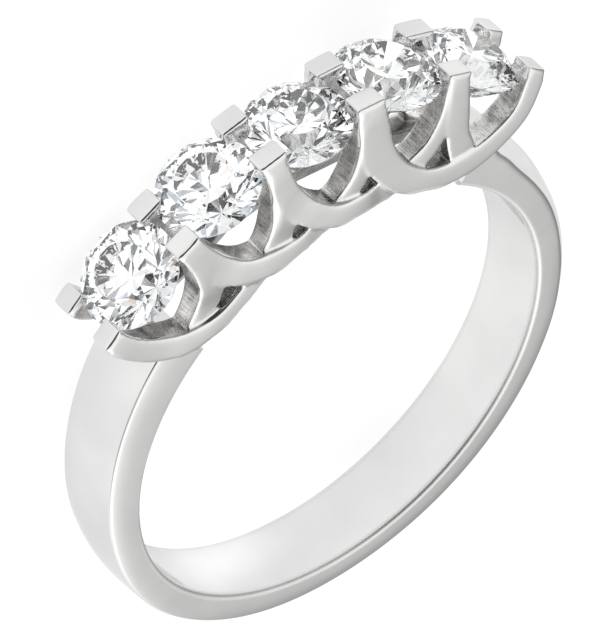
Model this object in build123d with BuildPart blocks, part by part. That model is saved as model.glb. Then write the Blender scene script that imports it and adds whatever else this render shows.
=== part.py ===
from build123d import *
from math import atan, cos, radians, sin, tan
import os

os.makedirs("parts", exist_ok=True)

# Frame: the ring lies on its side. Z is the finger axis, Y points from the finger to the middle
# stone, X runs along the row of stones. The origin is the middle of the finger hole.

# Finger hole and band
bore_diameter = 17.2
band_width = 2.84
band_thickness = 1.24
shoulder_thickness = 2.05
shoulder_start_angle = 95.0
band_end_angle = 32.5
comfort_round = 0.3
outer_round = 0.3

# Row of stones
stone_count = 5
stone_diameter = 3.7
stone_pitch_angle = 16.9
girdle_rise = 4.2
first_stone_turn = 6.0
stone_turn_step = 11.0

# Cut of a round brilliant
table_share = 0.57
crown_angle = 34.5
pavilion_angle = 40.8
star_share = 0.5
lower_half_share = 0.77
girdle_height = 0.11
main_facets = 8
girdle_sides = 32

# Woven side walls of the setting
head_width = 3.0
wall_inset = 1.05
prong_depth = 0.8
prong_rise = 4.88
rail_height = 0.9
bow_radius = 4.22
bow_dip = 0.08
arm_width = 0.72
eye_half_height = 4.1
wall_lean_start = 2.4
weave_depth = 0.15
half_bow_start = 1.2
wall_round = 0.15
seat_gap = 0.04

bore_radius = bore_diameter / 2
band_half = band_width / 2
head_half = head_width / 2
girdle_level = bore_radius + girdle_rise
prong_level = bore_radius + prong_rise
bow_level = bore_radius + bow_radius - bow_dip
eye_level = bore_radius + rail_height + eye_half_height
stone_radius = stone_diameter / 2
row_half = (stone_count - 1) / 2
pitch = radians(stone_pitch_angle)


def outward(angle):
    """Direction away from the finger axis, at an angle from Y along the row."""
    return Vector(sin(angle), cos(angle), 0)


def row_direction(angle):
    """Direction along the row of stones at that angle."""
    return Vector(cos(angle), -sin(angle), 0)


def stone_plane(angle):
    """Plane of a girdle: its Z points away from the finger and its X along the row."""
    return Plane(origin=outward(angle) * girdle_level, x_dir=row_direction(angle), z_dir=outward(angle))


# Corners of a brilliant, for a girdle radius of 1: radii, and heights above or below the girdle
half_step = radians(360 / main_facets / 4)
crown_slope = radians(crown_angle)
pavilion_slope = radians(pavilion_angle)
table_edge_radius = table_share * cos(2 * half_step)
table_height = (1 - table_edge_radius) * tan(crown_slope)
star_radius = table_edge_radius + star_share * (1 - table_edge_radius)
star_height = (1 - star_radius * cos(2 * half_step)) * tan(crown_slope)
star_slope = atan((table_height - star_height) / (star_radius - table_edge_radius))
upper_half_slope = atan(star_height / (cos(half_step) * (1 - star_radius)))
lower_half_radius = 1 - lower_half_share
lower_half_depth = (1 - lower_half_radius * cos(2 * half_step)) * tan(pavilion_slope)
lower_half_slope = atan(lower_half_depth / (cos(half_step) * lower_half_share))
culet_depth = tan(pavilion_slope)

# Facets of each side: first azimuth in half steps, slope, and a radius and height that it passes
crown_facets = (
    (0, crown_slope, 1, 0),
    (2, star_slope, star_radius, star_height),
    (1, upper_half_slope, cos(half_step), 0),
    (3, upper_half_slope, cos(half_step), 0),
)
pavilion_facets = (
    (0, pavilion_slope, 1, 0),
    (1, lower_half_slope, cos(half_step), 0),
    (3, lower_half_slope, cos(half_step), 0),
)

# One brilliant, cut from a many-sided blank
with BuildPart() as brilliant:
    girdle_half = girdle_height / 2
    blank_top = girdle_half + table_height * stone_radius
    blank_bottom = girdle_half + culet_depth * stone_radius
    with BuildSketch(Plane.XY.offset(-blank_bottom)):
        RegularPolygon(radius=stone_radius, side_count=girdle_sides)
    extrude(amount=blank_top + blank_bottom)
    for facets, side in ((crown_facets, 1), (pavilion_facets, -1)):
        for first, slope, radius, height in facets:
            for step in range(main_facets):
                azimuth = (first + 4 * step) * half_step
                away = Vector(cos(azimuth), sin(azimuth), 0)
                touched = away * radius * stone_radius
                touched += Vector(0, 0, side * (girdle_half + height * stone_radius))
                facing = away * sin(slope) + Vector(0, 0, side * cos(slope))
                split(bisect_by=Plane(origin=touched, z_dir=facing), keep=Keep.BOTTOM)

# Space that a stone takes in the metal: the brilliant turned to a round shape, with the seat gap
with BuildPart() as seat:
    seat_radius = stone_radius + seat_gap
    with BuildSketch(Plane.XZ):
        with BuildLine():
            Polyline(
                (0, girdle_half + table_height * seat_radius),
                (table_share * seat_radius, girdle_half + table_height * seat_radius),
                (star_radius * seat_radius, girdle_half + star_height * seat_radius),
                (seat_radius, girdle_half),
                (seat_radius, -girdle_half),
                (lower_half_radius * seat_radius, -girdle_half - lower_half_depth * seat_radius),
                (0, -girdle_half - culet_depth * seat_radius),
                close=True,
            )
        make_face()
    revolve(axis=Axis.Z)

# The finger hole through the band and through the walls, with the rounding of its two rims
hole_cutters = []
for rim_level, rim_round in ((band_half, comfort_round), (head_half, wall_round)):
    flare = bore_radius + rim_round
    straight = rim_level - rim_round
    with BuildPart() as finger_hole:
        with BuildSketch(Plane.XZ):
            with BuildLine():
                Polyline((flare, rim_level), (flare, head_width), (0, head_width), (0, -head_width))
                Polyline((0, -head_width), (flare, -head_width), (flare, -rim_level))
                RadiusArc((flare, -rim_level), (bore_radius, -straight), rim_round)
                Line((bore_radius, -straight), (bore_radius, straight))
                RadiusArc((bore_radius, straight), (flare, rim_level), rim_round)
            make_face()
        revolve(axis=Axis.Z)
    hole_cutters.append(finger_hole.part)
band_hole, wall_hole = hole_cutters

# Band: even round the back of the finger, thicker towards the shoulders, open under the stones
with BuildPart() as band:
    shank_radius = bore_radius + band_thickness
    shoulder_radius = bore_radius + shoulder_thickness
    shoulder_end = outward(radians(band_end_angle)) * shoulder_radius
    with BuildSketch(Plane.XY.offset(-band_half)):
        with BuildLine():
            shank_turn = 2 * (180 - shoulder_start_angle)
            shank = CenterArc((0, 0), shank_radius, shoulder_start_angle + 90, shank_turn)
            TangentArc(shank @ 1, (shoulder_end.X, shoulder_end.Y), tangent=shank % 1)
            TangentArc(shank @ 0, (-shoulder_end.X, shoulder_end.Y), tangent=(shank % 0) * -1)
            Polyline((shoulder_end.X, shoulder_end.Y), (0, 0), (-shoulder_end.X, shoulder_end.Y))
        make_face()
    extrude(amount=band_width)
    fillet(band.edges().filter_by(GeomType.CIRCLE), outer_round)
    add(band_hole, mode=Mode.SUBTRACT)

# Outline of the head from the side: flat prong tops, each square to its own prong
with BuildPart() as head_outline:
    corner_radius = prong_level / cos(pitch / 2)
    corners = [outward((index - row_half) * pitch) * corner_radius for index in range(-1, stone_count + 1)]
    with BuildSketch(Plane.XY.offset(-head_half)):
        with BuildLine():
            Polyline((0, 0), *[(corner.X, corner.Y) for corner in corners], close=True)
        make_face()
    extrude(amount=head_width)

# Space between the two walls: it widens towards the prong tops
with BuildPart() as wall_gap:
    low_half = head_half - wall_inset
    top_half = head_half - prong_depth
    lean_level = bore_radius + wall_lean_start
    open_level = prong_level + prong_rise
    with BuildSketch(Plane.XZ):
        with BuildLine():
            Polyline(
                (0, -low_half),
                (lean_level, -low_half),
                (prong_level, -top_half),
                (open_level, -top_half),
                (open_level, top_half),
                (prong_level, top_half),
                (lean_level, low_half),
                (0, low_half),
                close=True,
            )
        make_face()
    revolve(axis=Axis.Z)

# Three points of a bow's front face: shares of the pitch along the row, of the prong height above
# the finger, and of the weave depth. The face falls back where another bow crosses in front.
weave_points = (
    (-0.22, 0.08, 0),
    (0.63, 0.27, 1),
    (1.0, 1.0, 0),
)

# Bows that each span two stones. Half bows end on their neighbours at both ends of the row. Each
# bow goes behind the next one, and the last half bow goes behind the one before it.
bows = []
for index in range(-1, stone_count):
    bow_angle = (index + 0.5 - row_half) * pitch
    half_bow_side = {-1: 1, stone_count - 1: -1}.get(index, 0)
    weave_side = -1 if index == stone_count - 1 else 1
    bow_plane = Plane(origin=(0, 0, 0), x_dir=row_direction(bow_angle), z_dir=(0, 0, 1))
    with BuildPart() as bow:
        with BuildSketch(bow_plane):
            with Locations((0, bow_level)):
                Circle(bow_radius)
            with Locations((0, eye_level)):
                Ellipse(bow_radius - arm_width, eye_half_height, mode=Mode.SUBTRACT)
            if half_bow_side:
                with Locations((half_bow_side * (half_bow_start + bow_radius), prong_level)):
                    Rectangle(2 * bow_radius, 2 * prong_level, mode=Mode.INTERSECT)
        extrude(amount=head_half)
        if index != stone_count - 2:
            foot, crossing, top = [
                outward(bow_angle + weave_side * along * pitch) * (bore_radius + rise * prong_rise)
                + Vector(0, 0, head_half - fall * weave_depth)
                for along, rise, fall in weave_points
            ]
            facing = (crossing - foot).cross(top - foot) * weave_side
            split(bisect_by=Plane(origin=foot, z_dir=facing), keep=Keep.BOTTOM)
    bows.append(bow.part)

# Front wall: the bows woven one over the other
with BuildPart() as front_wall:
    for woven in bows:
        add(woven)
    add(head_outline.part, mode=Mode.INTERSECT)
    add(wall_gap.part, mode=Mode.SUBTRACT)
    add(wall_hole, mode=Mode.SUBTRACT)

# All the metal: band and both walls cast and soldered as one, with the seats cut for the stones
with BuildPart() as ring_mounting:
    add(band.part)
    add(front_wall.part)
    mirror(front_wall.part, about=Plane.XY)
    for index in range(stone_count):
        seat_place = stone_plane((index - row_half) * pitch)
        add(seat_place.location * seat.part, mode=Mode.SUBTRACT)
ring_mounting.part.label = "ring_mounting"
export_step(ring_mounting.part, "parts/ring_mounting.step")

for index in range(stone_count):
    with BuildPart(stone_plane((index - row_half) * pitch)) as stone:
        add(brilliant.part, rotation=(0, 0, first_stone_turn + index * stone_turn_step))
    stone.part.label = f"stone_{index + 1}"
    export_step(stone.part, f"parts/stone_{index + 1}.step")
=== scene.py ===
from functools import partial
from math import atan2, cos, degrees, hypot, pi, radians, sin, sqrt, tan

import bpy
from mathutils import Matrix, Vector


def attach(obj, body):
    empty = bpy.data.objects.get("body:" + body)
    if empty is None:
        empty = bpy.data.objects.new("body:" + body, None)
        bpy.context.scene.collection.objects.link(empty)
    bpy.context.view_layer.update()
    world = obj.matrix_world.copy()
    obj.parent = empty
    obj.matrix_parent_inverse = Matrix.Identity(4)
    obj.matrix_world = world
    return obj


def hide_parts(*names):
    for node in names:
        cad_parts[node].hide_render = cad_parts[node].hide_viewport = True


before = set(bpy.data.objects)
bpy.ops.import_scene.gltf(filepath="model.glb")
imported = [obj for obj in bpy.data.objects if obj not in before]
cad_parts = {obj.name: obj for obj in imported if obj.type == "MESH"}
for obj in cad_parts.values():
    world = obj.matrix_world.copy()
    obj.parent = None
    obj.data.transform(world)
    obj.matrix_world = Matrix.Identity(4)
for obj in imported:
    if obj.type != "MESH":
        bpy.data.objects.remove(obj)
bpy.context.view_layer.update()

# The shank and shoulders: one plain band of white gold, cast, turned to the finger size and polished.
# It is even round the back of the finger and thicker towards the stones, with a bevel filed along its
# right shoulder. All its long edges are rounded, softly where they touch the finger.
millimetre = 0.001
finger_radius = 8.6
band_half_width = 1.42
band_start_turn = 39.0
band_steps = 240
section_points = 88
rim_points = 12
comfort_round = 0.16
side_round = 0.1
side_pillow = 0.05
bevel_blend = 0.04
wire_radius = 0.5
wire_rise = 0.6
smooth_angle = 50
merge_distance = 1e-4
# turn from the middle stone in degrees, round by the right; outer radius; how far the outer face falls
# from its middle to the edge seen in front, and to the edge behind; width and slope of the filed bevel
shank_rows = (
    (20, 10.74, 0.20, 0.08, 0.05, 2.20),
    (39, 10.57, 0.22, 0.06, 0.14, 2.20),
    (50, 10.44, 0.24, 0.06, 0.36, 1.90),
    (58, 10.32, 0.23, 0.06, 0.45, 1.60),
    (66, 10.22, 0.21, 0.06, 0.41, 1.25),
    (75, 10.11, 0.16, 0.07, 0.36, 0.94),
    (84, 10.02, 0.13, 0.08, 0.31, 0.74),
    (100, 9.87, 0.10, 0.09, 0.16, 0.54),
    (115, 9.83, 0.11, 0.10, 0.03, 0.45),
    (130, 9.83, 0.11, 0.11, 0.00, 0.45),
    (150, 9.81, 0.11, 0.11, 0.00, 0.45),
    (180, 9.74, 0.11, 0.11, 0.00, 0.45),
    (210, 9.81, 0.11, 0.11, 0.00, 0.45),
    (235, 9.83, 0.11, 0.15, 0.00, 0.45),
    (250, 9.83, 0.10, 0.21, 0.00, 0.45),
    (265, 9.85, 0.08, 0.22, 0.00, 0.45),
    (285, 10.03, 0.06, 0.18, 0.00, 0.45),
    (310, 10.40, 0.05, 0.08, 0.00, 0.45),
    (325, 10.60, 0.05, 0.05, 0.00, 0.45),
    (340, 10.74, 0.05, 0.05, 0.00, 0.45),
)


def along(rows, place, column):
    """Smooth value of one column of a table, between rows whose first column is the place."""
    last = len(rows) - 1
    row = next((i for i in range(last) if place <= rows[i + 1][0]), last - 1)
    before, start, end, after = (rows[min(max(row + i, 0), last)] for i in (-1, 0, 1, 2))
    step = end[0] - start[0]
    share = min(max((place - start[0]) / step, 0), 1)
    start_slope = (end[column] - before[column]) / max(end[0] - before[0], step) * step
    end_slope = (after[column] - start[column]) / max(after[0] - start[0], step) * step
    squared, cubed = share**2, share**3
    return (
        (2 * cubed - 3 * squared + 1) * start[column]
        + (cubed - 2 * squared + share) * start_slope
        + (3 * squared - 2 * cubed) * end[column]
        + (cubed - squared) * end_slope
    )


def fresh():
    """Leaves nothing selected and no piece in edit mode before the next piece is begun."""
    if bpy.context.mode != "OBJECT":
        bpy.ops.object.mode_set(mode="OBJECT")
    bpy.ops.object.select_all(action="DESELECT")


def only(piece):
    """Makes one piece the selected and active one."""
    fresh()
    piece.select_set(True)
    bpy.context.view_layer.objects.active = piece


def settled():
    """Brings the place, turn and size of the selected piece into its mesh."""
    bpy.ops.object.transform_apply(location=True, rotation=True, scale=True)


def tidy_mesh(piece, merge=merge_distance):
    """Merges doubled corners and turns every face outwards."""
    only(piece)
    bpy.ops.object.mode_set(mode="EDIT")
    bpy.ops.mesh.select_all(action="SELECT")
    bpy.ops.mesh.remove_doubles(threshold=merge)
    bpy.ops.mesh.normals_make_consistent(inside=False)
    bpy.ops.object.mode_set(mode="OBJECT")


def to_metres(piece):
    """Brings a piece made in millimetres to its true size, with its object at the origin."""
    only(piece)
    piece.scale = (millimetre, millimetre, millimetre)
    settled()


def section_outline(outer, near_fall, far_fall, bevel, bevel_slope):
    """Points of the band's cut as (radius, height), round from the inner rim that is seen in front."""
    comfort_radius, comfort_height = finger_radius + comfort_round, band_half_width - comfort_round
    side_radius, side_height = outer - side_round, band_half_width - side_round
    corners = (
        (comfort_radius, comfort_height, comfort_round, 180),
        (side_radius, side_height, side_round, 90),
        (side_radius, -side_height, side_round, 0),
        (comfort_radius, -comfort_height, comfort_round, -90),
    )
    arcs = []
    for radius, height, rounding, start in corners:
        turns = [radians(start - 90 * step / rim_points) for step in range(rim_points + 1)]
        arcs.append([(radius + rounding * cos(turn), height + rounding * sin(turn)) for turn in turns])
    face_points = section_points // len(corners) - rim_points - 1
    points = []
    for arc, next_arc in zip(arcs, arcs[1:] + arcs[:1]):
        points += arc
        end, begin = arc[-1], next_arc[0]
        for step in range(1, face_points + 1):
            share = step / (face_points + 1)
            points.append((end[0] + (begin[0] - end[0]) * share, end[1] + (begin[1] - end[1]) * share))
    bent = []
    for radius, height in points:
        share = (radius - finger_radius) / (outer - finger_radius)
        fall = (near_fall if height > 0 else far_fall) * (height / band_half_width) ** 2 * share
        pillow = side_pillow * share**4 * height / band_half_width
        bevelled = bevel > 0 and height > 0
        beyond = max(radius - fall - (outer - near_fall - bevel), 0) if bevelled else 0
        drop = bevel_slope * beyond**2 / (beyond + bevel_blend) * (height / band_half_width) ** 2
        bent.append((radius - fall, height - pillow - drop))
    return bent


class Socket:
    """A shader value that takes part in Python expressions."""

    def __init__(self, tree, link):
        self.tree, self.link = tree, link

    def maths(self, operation, *values):
        return node(self.tree, "ShaderNodeMath", {"operation": operation}, *values)

    def __add__(self, other):
        return self.maths("ADD", self, other)

    def __mul__(self, other):
        return self.maths("MULTIPLY", self, other)

    def __sub__(self, other):
        return self.maths("SUBTRACT", self, other)

    def __rsub__(self, other):
        return self.maths("SUBTRACT", other, self)

    def __pow__(self, other):
        return self.maths("POWER", self, other)

    def __abs__(self):
        return self.maths("ABSOLUTE", self)

    __radd__, __rmul__ = __add__, __mul__


def node(tree, kind, settings=None, *values, out=0, **named):
    """Adds a node, sets it, feeds its sockets in order or by name, and gives one of its outputs."""
    made = tree.nodes.new(kind)
    for key, value in (settings or {}).items():
        if key == "stops":
            ramp = made.color_ramp
            while len(ramp.elements) < len(value):
                ramp.elements.new(0.5)
            for stop, (place, colour) in zip(ramp.elements, value):
                stop.position, stop.color = place, (*colour, 1)
        else:
            setattr(made, key, value)
    for key, value in [*enumerate(values), *((k.replace("_", " "), v) for k, v in named.items())]:
        if isinstance(value, Socket):
            tree.links.new(value.link, made.inputs[key])
        elif value is not None:
            made.inputs[key].default_value = value
    return Socket(tree, made.outputs[out])


def between(start, end, value):
    """Soft step of a shader value: 0 before the start, 1 past the end."""
    settings = {"interpolation_type": "SMOOTHSTEP"}
    return node(value.tree, "ShaderNodeMapRange", settings, value, start, end, 0.0, 1.0)


def noise(place, scale, detail, roughness=0.5):
    """Cloudy pattern over a place, from 0 to 1."""
    sizes = {"Scale": scale, "Detail": detail, "Roughness": roughness}
    return node(place.tree, "ShaderNodeTexNoise", None, place, **sizes)


def toned(value, stops):
    """Colour of a shader value, from stops that each have a place and a colour."""
    return node(value.tree, "ShaderNodeValToRGB", {"stops": stops}, value)


def scaled(vector, factor):
    """A place or colour made larger or brighter."""
    return node(vector.tree, "ShaderNodeVectorMath", {"operation": "SCALE"}, vector, Scale=factor)


def mixed(share, first, second):
    """Colour that is the first where the share is 0 and the second where it is 1."""
    values = (share, *[None] * 5, first, second)
    return node(share.tree, "ShaderNodeMix", {"data_type": "RGBA"}, *values, out=2)


def place_on_piece(tree):
    """Place on a piece in metres, in the frame of the whole ring."""
    return node(tree, "ShaderNodeTexCoord", out=3)


def finish_called(name, **constants):
    """A new material with its tree and its Principled shader, whose constant sockets are set."""
    finish = bpy.data.materials.new(name)
    finish.use_nodes = True
    surface = finish.node_tree.nodes["Principled BSDF"]
    for key, value in constants.items():
        surface.inputs[key.replace("_", " ")].default_value = value
    return finish, finish.node_tree, surface


def feed(tree, shader, **values):
    """Links shader values to the named sockets of a shader."""
    for key, value in values.items():
        tree.links.new(value.link, shader.inputs[key.replace("_", " ")])


def coat(piece, *finishes):
    """Gives a piece its finishes in place of any that it has."""
    piece.data.materials.clear()
    for finish in finishes:
        piece.data.materials.append(finish)


# tones of the polished metal, and of the skin that the casting leaves, from its dark to its pale places
polished_tones = ((0.3, (0.735, 0.73, 0.725)), (0.7, (0.775, 0.772, 0.766)))
cast_tones = ((0.38, (0.36, 0.352, 0.34)), (0.48, (0.73, 0.72, 0.708)), (0.59, (0.99, 0.982, 0.97)))
edge_tone = (0.82, 0.82, 0.82, 1)
polished_roughness = 0.045
satin_roughness = 0.34
cast_roughness = 0.2
band_middle_radius = 9.5
marks_along = 1.3
marks_across = 16
strokes_across = 19
strokes_along = 1.6
satin_rim_heights = (1.1, 1.25)
satin_rim_radii = (8.7, 8.85)
# painted shade in the pockets: the radii over which it fades out, and the share of the colour left where it
# is darkest
pocket_shade_radii = (9.5, 10.0)
pocket_shade_share = 0.34


def white_gold(name, as_cast=None):
    """Polished white gold with fine marks left by the wheel; as_cast gives where the skin is rougher, with
    painted shade deep in the pockets.
    """
    finish, tree, surface = finish_called(name, Metallic=1, Specular_Tint=edge_tone)
    place = scaled(place_on_piece(tree), 1 / millimetre)
    x, y, z = (node(tree, "ShaderNodeSeparateXYZ", None, place, out=i) for i in range(3))
    away = (x * x + y * y) ** 0.5
    # The wheel's marks run round the ring: long along it and close together across it
    around = x.maths("ARCTAN2", x, y) * band_middle_radius
    lay = (around * marks_along, away * marks_across, z * marks_across)
    marks = noise(node(tree, "ShaderNodeCombineXYZ", None, *lay), 1.0, 3.0, 0.6)
    cloud = noise(place, 0.55, 2.0)
    # The inner rims are only brushed, so they are duller than the rest
    rim = between(*satin_rim_heights, abs(z)) * (1 - between(*satin_rim_radii, away))
    colour = toned(cloud, polished_tones)
    roughness = polished_roughness + cloud * 0.06 + marks * 0.03 + rim * satin_roughness
    relief = cloud * 0.0045 + marks * 0.00035
    if as_cast:
        skin = as_cast(away, z)
        grain = noise(place, 9.0, 4.0, 0.65)
        blotch = noise(place, 1.7, 3.0)
        lay = (x * strokes_across, y * strokes_across, z * strokes_along)
        strokes = noise(node(tree, "ShaderNodeCombineXYZ", None, *lay), 1.0, 2.0)
        skin_tone_and_shade = toned(blotch * 0.5 + strokes * 0.35 + grain * 0.15, cast_tones)
        # Painted shade: the skin's colour is darkened towards the bottom of the pockets, where shade falls
        skin_tone_and_shade = scaled(skin_tone_and_shade, between(*pocket_shade_radii, away) * (1 - pocket_shade_share) + pocket_shade_share)
        colour = mixed(skin, colour, skin_tone_and_shade)
        roughness = roughness * (1 - skin) + (cast_roughness + grain * 0.16) * skin
        relief = relief * (1 - skin) + (grain * 0.006 + strokes * 0.006) * skin
    bump = node(tree, "ShaderNodeBump", None, Strength=1.0, Distance=millimetre, Height=relief)
    feed(tree, surface, Base_Color=colour, Roughness=roughness, Normal=bump)
    return finish


# A round wire is spun about the finger, and each of its rings then takes the band's cut at its turn
fresh()
bpy.ops.mesh.primitive_circle_add(
    vertices=section_points,
    radius=wire_radius,
    location=(finger_radius + wire_rise, 0, 0),
    rotation=(pi / 2, 0, 0),
)
shank = bpy.context.object
settled()
band_sweep = 360 - 2 * band_start_turn
bpy.ops.object.mode_set(mode="EDIT")
bpy.ops.mesh.select_all(action="SELECT")
bpy.ops.mesh.spin(steps=band_steps, angle=radians(band_sweep), center=(0, 0, 0), axis=(0, 0, 1))
bpy.ops.object.mode_set(mode="OBJECT")
spin_side = 1 if sum(vertex.co.y for vertex in shank.data.vertices if vertex.co.x > 0) > 0 else -1
outlines = {}
for vertex in shank.data.vertices:
    spun = degrees(atan2(spin_side * vertex.co.y, vertex.co.x)) % 360
    step = round(spun / band_sweep * band_steps) if spun < band_sweep + 1 else 0
    turn = band_start_turn + step * band_sweep / band_steps
    if step not in outlines:
        outlines[step] = section_outline(*(along(shank_rows, turn, column) for column in range(1, 6)))
    around = atan2(vertex.co.z, hypot(vertex.co.x, vertex.co.y) - finger_radius - wire_rise)
    radius, height = outlines[step][round(around / (2 * pi) * section_points) % section_points]
    vertex.co = (radius * sin(radians(turn)), radius * cos(radians(turn)), height)
only(shank)
bpy.ops.object.mode_set(mode="EDIT")
bpy.ops.mesh.select_all(action="DESELECT")
bpy.ops.mesh.select_non_manifold()
bpy.ops.mesh.fill_holes(sides=0)
bpy.ops.object.mode_set(mode="OBJECT")
tidy_mesh(shank)
to_metres(shank)
shank.name = "shank"
bpy.ops.object.shade_smooth_by_angle(angle=radians(smooth_angle))
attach(shank, "root")
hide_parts("ring_mounting")
coat(shank, white_gold("polished_band"))

# The side walls of the setting: cast bows of white gold woven one behind the next, so that each pair of
# neighbouring stones shares one square prong in front and one behind. The prongs are filed flat, and the
# edges are eased by polishing. Every bow spans two stones.
pitch = 16.9
prong_turns = (-41.7, -25.1, -8.3, 8.3, 24.9, 41.7)
prong_tops = (13.38, 13.34, 13.78, 13.53, 13.46, 13.47)
bow_radius = 4.22
bow_dip = 0.08
bow_middle = 4.6
bow_end_turn = 100
bow_length_steps = 110
bow_width_steps = 6
eye_half_width = 3.5
eye_half_height = 4.1
rail_height = 0.9
wall_back = 0.55
rail_draft = 0.42
# the polished faces fall away: along the rails' inner edge, along the outer edge, and on the right arms,
# from one turn of the bow to another, on what is wider than a narrow arm and over a share of the width
rail_crown = 0.02
outer_crown = 0.012
arm_crown_start = 32
arm_crown_end = 60
arm_crown_reach = 0.38
narrow_arm = 0.5
# the prongs grow out of the rails between two radii, and lean in by the square of what is past a third
prong_back = 0.58
lean_start = 11.0
lean_end = 13.4
prong_lean = 0.03
prong_lean_start = 12.5
# turn round a bow's middle, from straight down to the right: level of its front face. Each bow lies in
# front where it crosses the one before it and falls back behind the next one.
weave_rows = (
    (-100, 1.49), (-60, 1.49), (-45, 1.50), (-30, 1.54), (-10, 1.57), (3, 1.53), (12, 1.42),
    (22, 1.36), (31, 1.39), (41, 1.46), (52, 1.49), (80, 1.49), (100, 1.49),
)
third_bow_levels = weave_rows[:9] + ((41, 1.44), (50, 1.45), (60, 1.45), (80, 1.44), (100, 1.44))
last_bow_levels = ((-100, 1.49), (-40, 1.51), (0, 1.53), (50, 1.5), (100, 1.49))
# the same turn: how far the hand-filed eye's edge and outer edge of each bow lie from a true oval and circle
first_bow_rows = (
    (-100, -0.08, 0.08), (-65, 0.07, 0.0), (-45, 0.14, 0.12), (-30, 0.24, 0.24), (-15, 0.24, 0.1),
    (0, 0.12, 0.02), (15, 0.13, 0.14), (23, 0.17, 0.26), (30, 0.18, 0.31), (38, 0.13, 0.2),
    (45, 0.08, 0.14), (60, 0.0, 0.1), (75, -0.02, 0.0), (100, 0.0, -0.1),
)
second_bow_rows = (
    (-100, -0.08, -0.1), (-65, -0.17, -0.04), (-45, -0.08, 0.03), (-30, 0.03, 0.06), (-15, 0.0, 0.08),
    (0, 0.08, 0.02), (15, 0.2, 0.18), (23, 0.32, 0.28), (30, 0.42, 0.32), (38, 0.4, 0.22),
    (45, 0.34, 0.18), (60, 0.17, 0.14), (75, -0.02, 0.0), (100, 0.0, -0.1),
)
third_bow_rows = (
    (-100, -0.02, -0.15), (-65, -0.14, -0.12), (-45, -0.14, -0.1), (-30, -0.05, -0.05), (-15, 0.03, 0.03),
    (0, -0.03, 0.04), (15, 0.05, 0.18), (23, 0.2, 0.26), (30, 0.3, 0.3), (38, 0.36, 0.22),
    (45, 0.37, 0.14), (50, 0.33, 0.12), (57, 0.27, 0.08), (65, 0.17, 0.0), (75, 0.03, -0.15),
    (100, 0.0, -0.3),
)
fourth_bow_rows = (
    (-100, -0.04, -0.3), (-84, -0.27, -0.26), (-65, -0.52, -0.24), (-45, -0.52, -0.22),
    (-30, -0.45, -0.24), (-15, -0.3, -0.14), (0, -0.08, -0.02), (15, 0.08, 0.08), (30, 0.18, 0.22),
    (45, 0.3, 0.28), (60, 0.36, 0.32), (75, 0.08, 0.1), (100, -0.26, -0.16),
)
# outline and levels of each full bow, and how much the inner edge of its right arm is filed back
bow_shapes = (
    (first_bow_rows, weave_rows, 0.14),
    (second_bow_rows, weave_rows, 0.04),
    (third_bow_rows, third_bow_levels, 0.0),
    (fourth_bow_rows, last_bow_levels, 0.0),
)


def smooth_step(start, end, value):
    """Soft step of a number: 0 before the start, 1 past the end."""
    share = min(max((value - start) / (end - start), 0), 1)
    return share * share * (3 - 2 * share)


def ray_to_oval(turn, level, half_width, half_height):
    """Distance from a bow's middle to an oval, in a direction turned from straight down."""
    across, down = sin(turn), -cos(turn)
    drop = bow_middle - level
    a = (across / half_width) ** 2 + (down / half_height) ** 2
    b = drop * down / half_height**2
    c = (drop / half_height) ** 2 - 1
    return (sqrt(b * b - a * c) - b) / a


def bow_face(turn, share, rows):
    """Point of a bow's face: turn round its middle, and share from the eye's edge to the outer edge."""
    eye = ray_to_oval(turn, rail_height + eye_half_height, eye_half_width, eye_half_height)
    eye += along(rows, degrees(turn), 1)
    rim = ray_to_oval(turn, bow_radius - bow_dip, bow_radius, bow_radius) + along(rows, degrees(turn), 2)
    reach = eye + (rim - eye) * share
    across, level = reach * sin(turn), bow_middle - reach * cos(turn)
    from_axis = hypot(across, finger_radius + level)
    grow = max(finger_radius / from_axis, 1)
    return across * grow, (finger_radius + level) * grow


def wall_piece(name, start_turn, end_turn, place, levels, arm_crown=0):
    """One bow as a solid strip: place gives each face point, and levels how far in front the face lies."""
    fresh()
    bpy.ops.mesh.primitive_grid_add(
        x_subdivisions=bow_length_steps, y_subdivisions=bow_width_steps, size=1
    )
    strip = bpy.context.object
    strip.name = name
    bpy.ops.object.mode_set(mode="EDIT")
    bpy.ops.mesh.select_all(action="SELECT")
    bpy.ops.mesh.extrude_region_move(TRANSFORM_OT_translate={"value": (0, 0, -1)})
    bpy.ops.object.mode_set(mode="OBJECT")
    for vertex in strip.data.vertices:
        turn = radians(start_turn + (vertex.co.x + 0.5) * (end_turn - start_turn))
        share = vertex.co.y + 0.5
        across, upward = place(turn, share)
        away = hypot(across, upward)
        front = along(levels, degrees(turn), 1)
        front -= prong_lean * max(away - prong_lean_start, 0) ** 2
        if share < 0.5:
            inner, outer = place(turn, 0), place(turn, 1)
            width = hypot(outer[0] - inner[0], outer[1] - inner[1])
            arm = smooth_step(arm_crown_start, arm_crown_end, degrees(turn))
            arm *= arm_crown * max(width - narrow_arm, 0)
            front -= arm * max(1 - share / arm_crown_reach, 0) ** 2 + rail_crown * (1 - 2 * share) ** 3
        else:
            front -= outer_crown * (2 * share - 1) ** 3
        lean = smooth_step(lean_start, lean_end, away)
        back = wall_back + (prong_back - wall_back) * lean + rail_draft * share * (1 - lean)
        vertex.co = (across, upward, front if vertex.co.z > -0.5 else back)
    tidy_mesh(strip)
    return strip


def cut_away(piece, point, normal):
    """Cuts a piece by a plane, takes away the side that the normal points to and closes it."""
    only(piece)
    bpy.ops.object.mode_set(mode="EDIT")
    bpy.ops.mesh.select_all(action="SELECT")
    bpy.ops.mesh.bisect(plane_co=point, plane_no=normal, use_fill=True, clear_outer=True)
    bpy.ops.object.mode_set(mode="OBJECT")


def outward(angle):
    """Direction away from the finger, at an angle in degrees from the middle stone along the row."""
    return Vector((sin(radians(angle)), cos(radians(angle)), 0))


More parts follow.
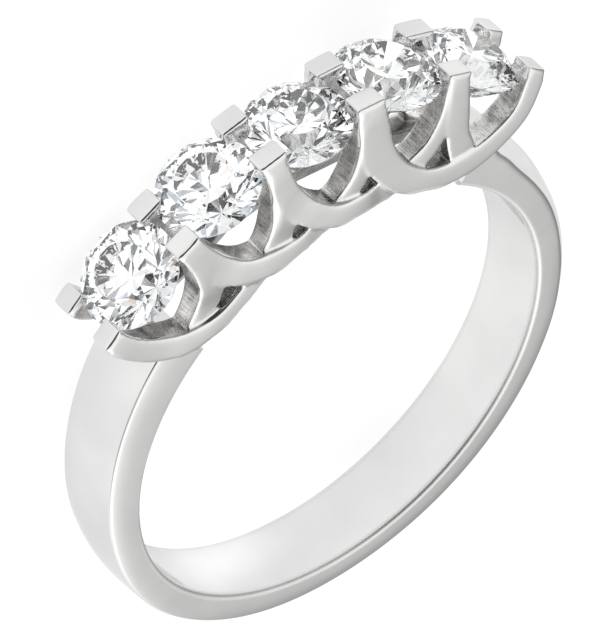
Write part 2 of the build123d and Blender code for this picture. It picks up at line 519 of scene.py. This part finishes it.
def turned(piece, angle):
    """Turns a piece about the finger, from the middle stone along the row."""
    only(piece)
    piece.rotation_euler = (0, 0, -radians(angle))
    settled()


def prong_planes(piece, *prongs):
    """Files the tops of a piece flat at its prongs."""
    for prong in prongs:
        direction = outward(prong_turns[prong])
        cut_away(piece, direction * prong_tops[prong], direction)


def soldered(piece, other):
    """Unites a piece with another one, which is used up."""
    only(piece)
    solder = piece.modifiers.new("solder", "BOOLEAN")
    solder.operation = "UNION"
    solder.object = other
    solder.solver = "EXACT"
    bpy.ops.object.modifier_apply(modifier=solder.name)
    bpy.data.objects.remove(other, do_unlink=True)


wall_parts = []
for bow, (rows, levels, arm_crown) in enumerate(bow_shapes):
    face = partial(bow_face, rows=rows)
    part = wall_piece(f"bow_{bow + 1}", -bow_end_turn, bow_end_turn, face, levels, arm_crown)
    turned(part, (bow - 1.5) * pitch)
    prong_planes(part, bow, bow + 2)
    wall_parts.append(part)

# The half bows at the ends of the row: the left one rises behind the first bow's rail, and the right one
# is a straight bar with a rounded foot on the last bow's rail.
left_half_start = 6
left_half_rows = (
    (0, -0.5, -0.5), (15, -0.36, -0.3), (30, -0.18, -0.12), (45, -0.05, 0.0), (60, -0.06, 0.0),
    (75, -0.03, -0.05), (100, 0.0, -0.1),
)
left_face = partial(bow_face, rows=left_half_rows)
left_half = wall_piece("left_half_bow", left_half_start, bow_end_turn, left_face, weave_rows)
turned(left_half, -2.5 * pitch)
prong_planes(left_half, 1)
wall_parts.append(left_half)

# rise above the finger, inner edge and outer edge of the bar, along the row from its bow's middle
bar_rows = (
    (0.5, -1.00, -1.35),
    (0.9, -0.95, -1.75),
    (1.2, -0.95, -2.10),
    (1.5, -0.98, -2.42),
    (1.7, -1.04, -2.62),
    (1.9, -1.30, -2.83),
    (2.1, -1.60, -2.99),
    (2.4, -1.90, -3.19),
    (3.0, -2.37, -3.56),
    (3.8, -3.02, -4.07),
    (4.3, -3.34, -4.38),
    (5.2, -3.50, -4.55),
)
bar_levels = ((0, 1.42), (12, 1.44), (25, 1.46), (40, 1.47), (100, 1.48))


def bar_face(turn, share):
    """Point of the bar's face: its turn runs from 0 at the foot to that of a bow's end at the top."""
    rise = bar_rows[0][0] + (bar_rows[-1][0] - bar_rows[0][0]) * degrees(turn) / bow_end_turn
    inner, outer = along(bar_rows, rise, 1), along(bar_rows, rise, 2)
    return inner + (outer - inner) * share, finger_radius + rise


right_half = wall_piece("right_half_bow", 0, bow_end_turn, bar_face, bar_levels)
turned(right_half, 2.5 * pitch)
prong_planes(right_half, 4)
wall_parts.append(right_half)

# The front wall: the bows are soldered into one, and polishing eases its edges, most at the prong tops.
# Its surface is made of even small squares, fine enough for the wheel's work to show.
grain_size = 0.0445
wheel_passes = 7
tip_passes = 12
tip_start = 13.1


def polish(piece, passes, start=0):
    """Evens out the surface of a piece, from a distance from the finger's middle outwards."""
    only(piece)
    bpy.ops.object.mode_set(mode="EDIT")
    bpy.ops.mesh.select_all(action="DESELECT")
    bpy.ops.object.mode_set(mode="OBJECT")
    for vertex in piece.data.vertices:
        vertex.select = hypot(vertex.co.x, vertex.co.y) > start
    bpy.ops.object.mode_set(mode="EDIT")
    bpy.ops.mesh.vertices_smooth(factor=0.5, repeat=passes)
    bpy.ops.object.mode_set(mode="OBJECT")


front_wall = wall_parts[0]
for part in wall_parts[1:]:
    soldered(front_wall, part)
only(front_wall)
grain = front_wall.modifiers.new("grain", "REMESH")
grain.mode = "VOXEL"
grain.voxel_size = grain_size
grain.use_smooth_shade = True
bpy.ops.object.modifier_apply(modifier=grain.name)
polish(front_wall, wheel_passes)
polish(front_wall, tip_passes, tip_start)
to_metres(front_wall)
front_wall.name = "front_wall"
bpy.ops.object.shade_smooth()

# The back wall: the front wall's mirror image. Towards its right end it stands a little higher, and its
# prong between the last two stones is broader. These turns are in radians.
back_lift = 0.12
back_slip = 0.02
back_lift_radii = (11.0, 13.6)
back_lift_turns = (-0.2, 0.6)
broad_lift = 0.14
broad_spread = 0.28
broad_radii = (12.2, 13.3)
broad_left_turns = (0.22, 0.36)
broad_right_turns = (-0.66, -0.5)
only(front_wall)
bpy.ops.object.duplicate()
back_wall = bpy.context.object
back_wall.name = "back_wall"
back_wall.scale = (1, 1, -1)
settled()
tidy_mesh(back_wall, merge_distance * millimetre)
for vertex in back_wall.data.vertices:
    x, y = vertex.co.x / millimetre, vertex.co.y / millimetre
    away, turn = hypot(x, y), atan2(x, y)
    lift = smooth_step(*back_lift_radii, away) * smooth_step(*back_lift_turns, turn)
    broad = smooth_step(*broad_left_turns, turn) * smooth_step(*broad_right_turns, -turn)
    broad *= smooth_step(*broad_radii, away)
    nearest = min((radians(prong) for prong in prong_turns), key=lambda prong: abs(turn - prong))
    away += back_lift * lift + broad_lift * broad
    turn += broad_spread * broad * (turn - nearest) - back_slip * lift
    vertex.co = (away * sin(turn) * millimetre, away * cos(turn) * millimetre, vertex.co.z)

# distances from the middle of the band's width, and from the finger's middle, over which the skin of the
# casting begins or ends
skin_side = (1.28, 1.40)
skin_bottom = (8.64, 8.74)
skin_top = (13.0, 13.25)


def cast_skin(away, z):
    """Where the walls keep the skin of the casting: inside, away from the filed faces and prong tops."""
    inside = 1 - between(*skin_side, abs(z))
    return inside * between(*skin_bottom, away) * (1 - between(*skin_top, away))


# the walls' finish, which holds painted shade at the bottom of the pockets
wall_finish = white_gold("walls_polished_outside", cast_skin)
for wall in (front_wall, back_wall):
    coat(wall, wall_finish)
    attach(wall, "root")
    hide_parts("ring_mounting")

# The stones: five round brilliants, each cut with a table, eight mains, stars and halves above the girdle
# and mains and halves below. Each sits between four prongs.
stone_radius = 1.85
# number from the left, level of the girdle from the finger's middle, and turn from the middle stone
stone_rows = ((1, 12.75, -33.95), (2, 12.95, -16.8), (3, 12.73, 0), (4, 12.95, 16.8), (5, 12.75, 33.95))
first_stone_turn = 6
stone_turn_step = 11
table_share = 0.57
crown_slope = radians(34.5)
pavilion_slope = radians(40.8)
star_share = 0.5
lower_half_share = 0.77
girdle_half = 0.045
girdle_sides = 96
girdle_facing = 0.01
main_facets = 8
half_step = radians(360 / main_facets / 4)
table_edge = table_share * cos(2 * half_step)
table_height = (1 - table_edge) * tan(crown_slope)
star_radius = table_edge + star_share * (1 - table_edge)
star_height = (1 - star_radius * cos(2 * half_step)) * tan(crown_slope)
star_slope = atan2(table_height - star_height, star_radius - table_edge)
upper_slope = atan2(star_height, cos(half_step) * (1 - star_radius))
lower_radius = 1 - lower_half_share
lower_depth = (1 - lower_radius * cos(2 * half_step)) * tan(pavilion_slope)
lower_slope = atan2(lower_depth, cos(half_step) * lower_half_share)
# first direction in half steps, slope, a radius and height that the facet passes, and 1 above the girdle
# or -1 below it; radii and heights are shares of the stone's radius
facet_rows = (
    (0, crown_slope, 1, 0, 1),
    (2, star_slope, star_radius, star_height, 1),
    (1, upper_slope, cos(half_step), 0, 1),
    (3, upper_slope, cos(half_step), 0, 1),
    (0, pavilion_slope, 1, 0, -1),
    (1, lower_slope, cos(half_step), 0, -1),
    (3, lower_slope, cos(half_step), 0, -1),
)

# One stone is cut from a round blank and copied
fresh()
blank_top = girdle_half + table_height * stone_radius
blank_bottom = girdle_half + tan(pavilion_slope) * stone_radius
bpy.ops.mesh.primitive_cylinder_add(
    vertices=girdle_sides,
    radius=stone_radius,
    depth=blank_top + blank_bottom,
    location=(0, 0, (blank_top - blank_bottom) / 2),
)
brilliant = bpy.context.object
settled()
for first, slope, radius, height, side in facet_rows:
    for step in range(main_facets):
        direction = (first + 4 * step) * half_step
        away = Vector((cos(direction), sin(direction), 0))
        touched = away * radius * stone_radius + Vector((0, 0, side * (girdle_half + height * stone_radius)))
        cut_away(brilliant, touched, away * sin(slope) + Vector((0, 0, side * cos(slope))))
tidy_mesh(brilliant)

# A clear cut stone, polished but for its frosted girdle
haze_tones = ((0.35, (0.965, 0.985, 1)), (0.65, (1, 1, 0.99)))
frost_tone = (0.6, 0.61, 0.63, 1)
refraction = 2.42
clear, tree, surface = finish_called("clear_cut_stone", Roughness=0, IOR=refraction, Transmission_Weight=1)
haze = noise(place_on_piece(tree), 900.0, 2.0)
feed(tree, surface, Base_Color=toned(haze, haze_tones))
bruted, tree, surface = finish_called(
    "bruted_girdle", Base_Color=frost_tone, IOR=refraction, Transmission_Weight=1
)
frost = noise(place_on_piece(tree), 24000.0, 2.0)
feed(tree, surface, Roughness=frost * 0.3 + 0.12)

for number, level, turn in stone_rows:
    only(brilliant)
    bpy.ops.object.duplicate()
    stone = bpy.context.object
    stone.rotation_euler = (0, 0, radians(first_stone_turn + stone_turn_step * number))
    settled()
    up = outward(turn)
    row = Vector((up.y, -up.x, 0))
    upright = Matrix((row, up.cross(row), up)).transposed().to_4x4()
    stone.matrix_world = Matrix.Translation(up * level) @ upright
    settled()
    to_metres(stone)
    stone.name = f"brilliant_{number}"
    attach(stone, "root")
    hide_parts(f"stone_{number}")
    coat(stone, clear, bruted)
    for face in stone.data.polygons:
        face.material_index = int(abs(face.normal.dot(up)) < girdle_facing)
bpy.data.objects.remove(brilliant, do_unlink=True)

# The stage: a plain pale floor under the resting ring, a soft studio sky with a dark place behind the
# camera, and the camera at the photograph's angle. The head is wider than the band, so the ring as it
# lies is a little out of level with the floor.
head_overhang = 0.42
resting_length = 22.4
head_rest = (0, 0.0129, -0.001846)
floor_size = 1.2
floor_tone = (0.16, 0.16, 0.16, 1)
paper_tones = ((0.3, (0.86, 0.862, 0.87)), (0.7, (1, 1, 1)))
paper_light = 1.5
# a painted pool of light: a spot where the paper glows brighter and lights the inside of the band; its
# middle, the width of its edge, and the share by which the paper away from it glows less
painted_light_spot = Vector((-0.003, -0.0185, 0))
painted_light_spot_edge = (0.0005, 0.0038)
painted_light_spot_lead = 0.333
fresh()
rest_slope = atan2(head_overhang, resting_length)
bpy.ops.mesh.primitive_plane_add(size=floor_size, location=head_rest, rotation=(-rest_slope, 0, 0))
floor = bpy.context.object
floor.name = "floor"
pale, tree, surface = finish_called(
    "pale_floor",
    Base_Color=floor_tone,
    Roughness=0.6,
    Specular_IOR_Level=0.1,
    Emission_Strength=paper_light,
)
place = place_on_piece(tree)
paper_glow = toned(noise(place, 140.0, 0.0), paper_tones)
spot = node(tree, "ShaderNodeVectorMath", {"operation": "DISTANCE"}, place, painted_light_spot, out=1)
# painted pool of light: the paper glows fully in the spot and dimmer away from it
paper_glow = scaled(paper_glow, 1 - between(*painted_light_spot_edge, spot) * painted_light_spot_lead)
feed(tree, surface, Emission_Color=paper_glow)
coat(floor, pale)

# The camera stands far off with a long lens, which is given for a picture 638 pixels high
camera_place = Vector((-0.0985314566, 0.21064542913, 0.14136367683))
camera_right = Vector((0.78386199, -0.05130772, 0.61881173))
camera_down = Vector((-0.50333732, -0.63608503, 0.58484823))
camera_ahead = Vector((0.36360961, -0.76991129, -0.52442795))
focal_pixels = 8000
picture_pixels = 638
film_height = 36
nearest_seen = 0.01
lens = bpy.data.cameras.new("camera")
camera = bpy.data.objects.new("camera", lens)
bpy.context.scene.collection.objects.link(camera)
lens.sensor_fit = "VERTICAL"
lens.sensor_height = film_height
lens.lens = focal_pixels * film_height / picture_pixels
lens.clip_start = nearest_seen
turned_to = Matrix((camera_right, -camera_down, -camera_ahead)).transposed().to_4x4()
camera.matrix_world = Matrix.Translation(camera_place) @ turned_to
bpy.context.scene.camera = camera

# The studio: walls that grow paler with height, a low glow and a soft light on the far side of the ring,
# and a dark screen behind the camera. Each is a direction with the angles of its soft edge in degrees,
# and heights run from 0 level with the ring to 1 straight above it.
far_glow = ((-0.5, -0.86, 0.0), 75, 35)
far_glow_strength = 0.3
far_glow_top = (0.1, 0.45)
soft_light = ((-0.36, -0.79, 0.48), 42, 10)
soft_light_strength = 0.75
dark_screen = ((-0.45, 0.85, 0.3), 54, 42)
dark_screen_share = 0.86
dark_screen_foot = (0.02, 0.1)
dark_screen_top = (0.86, 0.97)
wall_strength = 0.36
wall_gain = 0.8
wall_gain_heights = (0.22, 0.85)
sky = bpy.data.worlds.new("studio")
bpy.context.scene.world = sky
sky.use_nodes = True
tree = sky.node_tree
direction = node(tree, "ShaderNodeTexCoord")
height = node(tree, "ShaderNodeSeparateXYZ", None, direction, out=2)


def facing(target, start, end):
    """1 where the sky lies within a cone round a direction, with a soft edge."""
    target = Vector(target).normalized()
    aim = node(tree, "ShaderNodeVectorMath", {"operation": "DOT_PRODUCT"}, direction, target, out=1)
    return between(cos(radians(start)), cos(radians(end)), aim)


walls = between(*wall_gain_heights, height) * wall_gain + wall_strength
glow = facing(*far_glow) * far_glow_strength * (1 - between(*far_glow_top, height))
light = walls + glow + facing(*soft_light) * soft_light_strength
dark = facing(*dark_screen) * between(*dark_screen_foot, height) * (1 - between(*dark_screen_top, height))
room = light * (1 - dark * dark_screen_share)

# What the stones see through their facets: a studio of many small lights and dark things
sparkle_cells = 24.0
sparkle_light = 1.4
sparkle_tones = (
    (0.0, (0.01, 0.01, 0.015)),
    (0.14, (0.03, 0.03, 0.035)),
    (0.18, (0.27, 0.26, 0.25)),
    (0.29, (0.4, 0.45, 0.53)),
    (0.36, (0.8, 0.7, 0.6)),
    (0.43, (0.74, 0.84, 0.96)),
    (0.5, (1.0, 1.0, 1.0)),
    (1.0, (1.0, 1.0, 1.0)),
)
cells = node(tree, "ShaderNodeTexVoronoi", None, direction, Scale=sparkle_cells, Randomness=1.0, out=1)
sparkle = toned(node(tree, "ShaderNodeSeparateColor", None, cells), sparkle_tones)
in_stone = node(tree, "ShaderNodeLightPath", out=6)
feed(tree, tree.nodes["Background"], Color=mixed(in_stone, room, scaled(sparkle, sparkle_light)))

scene = bpy.context.scene
scene.view_settings.view_transform = "Standard"
scene.cycles.max_bounces = 24
scene.cycles.transmission_bounces = 20
scene.cycles.glossy_bounces = 8
